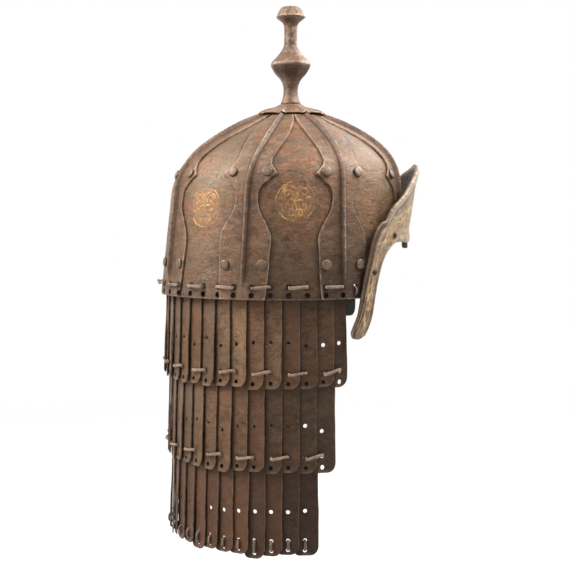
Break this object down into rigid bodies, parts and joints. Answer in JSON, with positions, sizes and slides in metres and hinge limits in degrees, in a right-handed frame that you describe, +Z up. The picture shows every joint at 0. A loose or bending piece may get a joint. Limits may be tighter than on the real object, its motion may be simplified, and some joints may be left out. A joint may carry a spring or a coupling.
{
  "type": "multi-plate helmet with neck guard",
  "caption": "Ridged multi-plate iron helmet with a baluster finial, a standing brow plate and a hanging neck guard of laced lamellae.",
  "frame": {"origin": "centre of the bowl's rim, at the height of its lower edge, where a head enters", "axes": "+X is the wearer's front, +Y the wearer's left, +Z up along the axis of the bowl"},
  "size_m": [0.2423, 0.2308, 0.4804],
  "materials": {
    "bowl_plate": "forged, brown patina with worn gold roundels",
    "ridged_plate": "forged, brown patina",
    "rivet": "hammered, worn",
    "finial": "forged, brown patina",
    "brow_plate": "embossed, worn gold ornament",
    "lamella": "forged, dark patina",
    "thong": "dry rawhide",
    "tab": "dark worn leather"
  },
  "bodies": {
    "bowl": {"inner_plate_1": "bowl_plate", "inner_plate_2": "bowl_plate", "inner_plate_3": "bowl_plate", "inner_plate_4": "bowl_plate", "inner_plate_5": "bowl_plate", "inner_plate_6": "bowl_plate", "inner_plate_7": "bowl_plate", "inner_plate_8": "bowl_plate", "ridged_plate_1": "ridged_plate", "ridged_plate_2": "ridged_plate", "ridged_plate_3": "ridged_plate", "ridged_plate_4": "ridged_plate", "ridged_plate_5": "ridged_plate", "ridged_plate_6": "ridged_plate", "ridged_plate_7": "ridged_plate", "ridged_plate_8": "ridged_plate", "plate_rivets": "rivet", "apex_plate": "ridged_plate", "finial": "finial", "finial_washer": "lamella", "brow_plate": "brow_plate", "brow_rivets": "rivet", "rim_lacing": "thong", "end_tabs": "tab"},
    "row_1": {"row_1_back": "lamella", "row_1_right_1": "lamella", "row_1_right_2": "lamella", "row_1_right_3": "lamella", "row_1_right_4": "lamella", "row_1_left_1": "lamella", "row_1_left_2": "lamella", "row_1_left_3": "lamella", "row_1_left_4": "lamella", "row_1_lacing": "thong"},
    "row_2": {"row_2_back": "lamella", "row_2_right_1": "lamella", "row_2_right_2": "lamella", "row_2_right_3": "lamella", "row_2_right_4": "lamella", "row_2_left_1": "lamella", "row_2_left_2": "lamella", "row_2_left_3": "lamella", "row_2_left_4": "lamella", "row_2_lacing": "thong"},
    "row_3": {"row_3_back": "lamella", "row_3_right_1": "lamella", "row_3_right_2": "lamella", "row_3_right_3": "lamella", "row_3_left_1": "lamella", "row_3_left_2": "lamella", "row_3_left_3": "lamella", "row_3_thongs": "thong"}
  },
  "joints": [
    {"name": "row_1_lift", "type": "slide", "parent": "bowl", "child": "row_1", "axis": [0, 0, 1], "range_m": [0, 0.008], "deforming": ["rim_lacing"]},
    {"name": "row_2_lift", "type": "slide", "parent": "row_1", "child": "row_2", "axis": [0, 0, 1], "range_m": [0, 0.01], "deforming": ["row_1_lacing"]},
    {"name": "row_3_lift", "type": "slide", "parent": "row_2", "child": "row_3", "axis": [0, 0, 1], "range_m": [0, 0.01], "deforming": ["row_2_lacing"]}
  ]
}
